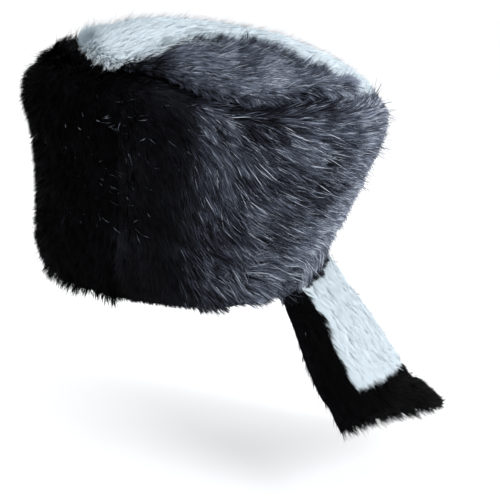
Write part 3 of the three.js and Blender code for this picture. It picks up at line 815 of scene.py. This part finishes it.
def stripe_fields(x, y, P, tp, tq, n):
    turn = np.radians(11 * noise(P, 34, 51) + 4 * noise(P, 14, 52))
    d = np.minimum(stripe_left(y) - x, x - stripe_right(y))
    out = np.sign(x) * (0.05 + 0.20 * step((np.abs(x) - 30) / 30) + 0.5 * (1 - step(d / 8)))
    # at the front edge the white stands up and spreads to the sides
    lead = step((crown_rho(x, y) - 0.86) / 0.12) * step((-y - 30) / 20)
    out = out + 0.9 * lead * x / 60
    flow = unit(tq * (1 - 0.5 * lead)[:, None] + tp * (out + np.tan(turn))[:, None])
    # painted light: the white lighter where it stands up at the front edge, against the shade on that face
    tone = 0.70 + 0.03 * noise(P, 22, 53) + 0.02 * noise(P, 8, 54) + 0.2 * lead
    rho = crown_rho(x, y)
    length = 13.0 + 1.8 * noise(P, 20, 55) - 3.0 * step((rho - 0.86) / 0.14) - 2.0 * step((y - 30) / 50) + 4.0 * lead
    return {"flow": flow, "length": length, "lift0": 0.55 + 0.40 * lead, "lift1": 0.16 + 0.07 * noise(P, 16, 56) + 0.08 * lead,
            "width": np.full_like(x, 0.62), "tone": tone, "vary": np.full_like(x, 0.03), "guard": np.full_like(x, 0.0),
            "fringe": 0.20 * step((8 - x) / 20) * step((x + 34) / 10), "pull": np.full_like(x, 0.15),
            "stray": np.full_like(x, 0.02), "calm": 0.35}


def in_crown(x, y):
    return crown_rho(x, y) < 0.995


hair = pelt("crown_left_hair", BLACK, crown_surface(0), 15000, (40, 93, -78, 108), (1.5, 1.5), crown_fields, (6, 1.7, 13, 7),
            crown_depth(0), rings=2, inside=lambda x, y: in_crown(x, y) & (x > stripe_left(y)))
hair = pelt("crown_right_hair", BLACK, crown_surface(0), 15000, (-93, -40, -90, 110), (1.5, 1.5), crown_fields, (6, 1.7, 13, 7),
            crown_depth(0), rings=2, inside=lambda x, y: in_crown(x, y) & (x < stripe_right(y)))


def border_fields(x, y, P, tp, tq, n):
    f = crown_fields(x, y, P, tp, tq, n)
    lean = -np.sign(x) * (0.9 + 0.5 * noise(P, 9, 47))
    f["flow"] = unit(tq + tp * lean[:, None])
    ahead = step((-y - 10) / 30)
    f["length"] = 12.5 + 4.0 * noise(P, 7, 48) - 4.5 * ahead
    f["lift0"], f["lift1"] = 1.0 - 0.2 * ahead, 0.55 - 0.25 * ahead
    f["tone"] = f["tone"] - 0.28 * (1 - 0.8 * step((y - 66) / 20))
    f["pull"] = np.full_like(x, 0.85)
    f["vary"] = np.full_like(x, 0.06)
    return f


for label, edge, way in (("left", stripe_left, 1), ("right", stripe_right, -1)):
    hair = pelt(f"crown_{label}_border_hair", BLACK_DULL, crown_surface(0), 3600, (-78, 78, -78, 108), (1.5, 1.5), border_fields,
                (14, 1.7, 16, 8), crown_depth(0), rings=2,
                inside=lambda x, y: in_crown(x, y) & (way * (x - edge(y)) > 0.2) & (way * (x - edge(y)) < 4.0))
hair = pelt("crown_stripe_hair", WHITE, crown_surface(STRIPE_EXTRA), 33000, (-57, 82, -95, 119), (1.5, 1.5), stripe_fields,
            (8, 2.4, 9, 7), crown_depth(STRIPE_EXTRA), rings=2, soften=0.97,
            inside=lambda x, y: in_crown(x, y) & (x < stripe_left(y)) & (x > stripe_right(y)))


# ---- the tail ------------------------------------------------------------
def tail_piece(name, from_s, to_s, lo, hi, slots, ns, na):
    ss = np.linspace(from_s, to_s, ns)
    t = np.linspace(0, 1, na)
    a0, a1 = lo(ss), hi(ss)
    a = a0[:, None] + (a1 - a0)[:, None] * t[None, :]
    s = np.repeat(ss[:, None], na, 1)
    wide = read(TAIL_ROWS, "along", "wide", s)
    thick = read(TAIL_ROWS, "along", "thick", s)
    q = np.minimum(np.abs(2 * a / wide), 1)
    inset = 0.30 * (1 - 0.75 * q**3)
    top, low = tail_surface(1)(a, s), tail_surface(-1)(a, s)
    through = low - top
    k = (inset * np.minimum(10 / thick, 1))[..., None]
    top2, low2 = top + through * k, low - through * k
    top2 += unit(top - low) * (0.5 * noise(top, 7, 61))[..., None]
    return slab(name, top2, low2, slots)


def white_left(s):
    return read(TAIL_STRIPE, "along", "left", s)


def white_right(s):
    return -read(TAIL_STRIPE, "along", "right", s)


def in_white(a, s):
    return (a < white_left(s)) & (a > white_right(s))


def tail_half(s):
    return read(TAIL_ROWS, "along", "wide", s) / 2


END = TAIL_STRIPE_END
base = tail_piece("tail_stripe_pelt", 0, END, lambda s: white_right(s) + 0.25, lambda s: white_left(s) - 0.25, [WHITE_UNDER, WHITE_UNDER, BLACK_UNDER], 38, 28)
# the sewn end lies in the wall's pile and in its shadow; painted shadow: it gets the black undercoat: the slab's first
# row of faces and its last ones
faces = base.data.polygons
for i in [*range(2 * 27), *range(len(faces) - 27, len(faces))]:
    faces[i].material_index = 2
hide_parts("tail_stripe")
base = tail_piece("tail_left_pelt", 0, END, lambda s: white_left(s) + 0.25, tail_half, [BLACK_UNDER, BLACK_UNDER], 38, 9)
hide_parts("tail_left")
base = tail_piece("tail_right_pelt", 0, END, lambda s: -tail_half(s), lambda s: white_right(s) - 0.25, [BLACK_UNDER, BLACK_UNDER], 38, 9)
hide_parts("tail_right")
base = tail_piece("tail_tip_pelt", END + 0.5 / 175, 1, lambda s: -tail_half(s), tail_half, [BLACK_UNDER, BLACK_UNDER], 24, 32)
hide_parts("tail_tip")


def tail_fields(kind):
    def fields(a, s, P, tp, tq, n):
        _, _, _, t = tail_frame(s)
        t = unit(t - n * (t * n).sum(-1, keepdims=True))
        side = np.cross(n, t)
        spread = np.sign((side * tp).sum(-1)) * a / tail_half(s)
        sweep = (kind == "white") * step((-a - 30) / 12)
        turn = spread * (0.12 + 0.35 * step((s - 0.75) / 0.25) + 0.7 * sweep) + np.radians((5 if kind == "white" else 9) * noise(P, 26, 71) + (3 if kind == "white" else 7) * noise(P, 10, 72))
        flow = unit(t + side * np.tan(turn)[:, None])
        if kind == "white":
            tone = 0.60 + 0.03 * noise(P, 24, 73) + 0.015 * noise(P, 9, 74)
            length = 12.0 + 1.2 * noise(P, 18, 75) + 3.0 * sweep
            vary, guard = 0.025, 0.0
        else:
            tone = 0.05 + 0.03 * noise(P, 20, 76)
            close = step((-a - 44) / 6) * step((END + 0.02 - s) / 0.04)
            length = 13.0 + 1 * step((s - 0.8) / 0.2) - 5 * close + 7.5 * np.exp(-(((a + 14) / 30) ** 2)) * step((s - 0.86) / 0.1)
            vary, guard = 0.04, 0.0005
        one = np.ones_like(a)
        flat = (1 - 0.7 * close) if kind == "black" else one
        return {"flow": flow, "length": length * one, "lift0": (0.40 if kind == "white" else 0.5) * flat,
                "lift1": (0.12 if kind == "white" else 0.2) * flat, "width": (0.62 if kind == "white" else 0.52) * one,
                "tone": tone, "vary": vary * one, "guard": guard * one, "fringe": 0.12 * (kind == "white") * step((-a - 34) / 8),
                "pull": (0.12 if kind == "white" else 0.45) * one, "stray": 0.02 * one, "calm": 0.3 if kind == "white" else 1.0}
    return fields


def root_fields(a, s, P, tp, tq, n):
    """The wall's long hairs that fall over the top of the tail and hide where it is sewn on."""
    f = tail_fields("black")(a, s, P, tp, tq, n)
    one = np.ones_like(a)
    # the topmost ones lie up over the tail's end
    up = s < 0.009
    f["flow"] = np.where(up[:, None], -f["flow"], f["flow"])
    f["length"] = np.where(up, 10.0, 6.5 + 4.0 * noise(P, 7, 81))
    f["tone"] = 0.55 + 0.08 * noise(P, 20, 82) + 0.06 * noise(P, 8, 83) - 0.25 * (s / 0.02) * (~up)
    f["lift0"], f["lift1"] = np.where(up, 0.45, 0.6), np.where(up, -0.15, 0.16)
    f["width"], f["vary"], f["pull"], f["guard"] = 0.50 * one, 0.14 * one, 0.6 * one, 0.004 * one
    return f


EPS_TAIL = (1.5, 0.01)
for label, side in (("outer", 1), ("inner", -1)):
    k = 1.0 if side == 1 else 0.6
    outward = 1 if side == 1 else -1
    surface = tail_surface(side)
    # the cross product of across and along points out on one face only
    test = frames(surface, np.array([0.0]), np.array([0.4]), *EPS_TAIL)[3][0]
    face = tail_frame(np.array([0.4]))[2][0] * side
    outward = 1 if float(np.dot(test, face)) > 0 else -1
    hair = pelt(f"tail_stripe_hair_{label}", WHITE, surface, int(10000 * k), (-52, 42, 0.016, END - 0.03), EPS_TAIL, tail_fields("white"),
                (8, 2.4, 7, 7), 2.6, rings=2, soften=0.97, inside=in_white, outward=outward)
    hair = pelt(f"tail_edges_hair_{label}", BLACK_DULL, surface, int(5500 * k), (-62, 62, 0, END + 0.01), EPS_TAIL, tail_fields("black"),
                (9, 2.4, 9, 8), 2.2, rings=2, inside=lambda a, s: ~in_white(a, s) & (np.abs(a) < tail_half(s)),
                outward=outward)
    hair = pelt(f"tail_tip_hair_{label}", BLACK_DULL, surface, int(8000 * k), (-62, 62, END - 0.01, 1.0), EPS_TAIL, tail_fields("black"),
                (9, 2.6, 10, 9), 2.2, rings=3, inside=lambda a, s: np.abs(a) < tail_half(s), outward=outward)
    if side == 1:
        hair = pelt("tail_root_hair", BLACK, surface, 3400, (-57, 57, 0.0, 0.02), EPS_TAIL, root_fields,
                    (6, 2.0, 12, 7), 2.6, rings=3, inside=lambda a, s: np.abs(a) < tail_half(s), outward=outward)


# ---- stage, light, camera ------------------------------------------------
def plane(name, size, z, colour):
    s = size / 2
    me = bpy.data.meshes.new(name)
    me.from_pydata([(-s, -s, z), (s, -s, z), (s, s, z), (-s, s, z)], [], [(0, 1, 2, 3)])
    ob = bpy.data.objects.new(name, me)
    bpy.context.scene.collection.objects.link(ob)
    m, nt, shader = new_material(name)
    shader.inputs["Base Color"].default_value = (*colour, 1)
    shader.inputs["Roughness"].default_value = 0.9
    shader.inputs["Specular IOR Level"].default_value = 0.1
    me.materials.append(m)
    return ob


plane("floor", 400, -0.168, (0.97, 0.97, 0.97))

world = bpy.data.worlds.new("studio")
world.use_nodes = True
bpy.context.scene.world = world
background = world.node_tree.nodes["Background"]
background.inputs["Color"].default_value = (0.985, 0.99, 1.0, 1)
background.inputs["Strength"].default_value = 1.06


def area_light(name, place, target, size, power, colour):
    data = bpy.data.lights.new(name, "AREA")
    data.shape = "DISK"
    data.size = size
    data.energy = power
    data.color = colour
    ob = bpy.data.objects.new(name, data)
    ob.location = place
    ob.rotation_euler = (Vector(target) - Vector(place)).to_track_quat("-Z", "Y").to_euler()
    bpy.context.scene.collection.objects.link(ob)
    return ob


area_light("key", (1.0, 1.25, 1.35), (0, 0.03, 0.05), 1.1, 24, (0.93, 0.97, 1.0))
area_light("top", (-0.2, 0.2, 1.7), (0, 0.0, 0.1), 1.4, 8, (1.0, 1.0, 1.0))

camera = bpy.data.cameras.new("camera")
camera.lens = 60.0
camera.sensor_width = 36.0
camera.clip_start = 0.01
camera.clip_end = 100
cam = bpy.data.objects.new("camera", camera)
cam.matrix_world = Matrix((
    (0.05739, -0.31951, 0.94585, 0.6249),
    (0.98817, -0.11678, -0.09941, -0.0150),
    (0.14222, 0.94037, 0.30902, 0.2255),
    (0, 0, 0, 1)))
bpy.context.scene.collection.objects.link(cam)
bpy.context.scene.camera = cam
bpy.context.scene.view_settings.view_transform = "Standard"
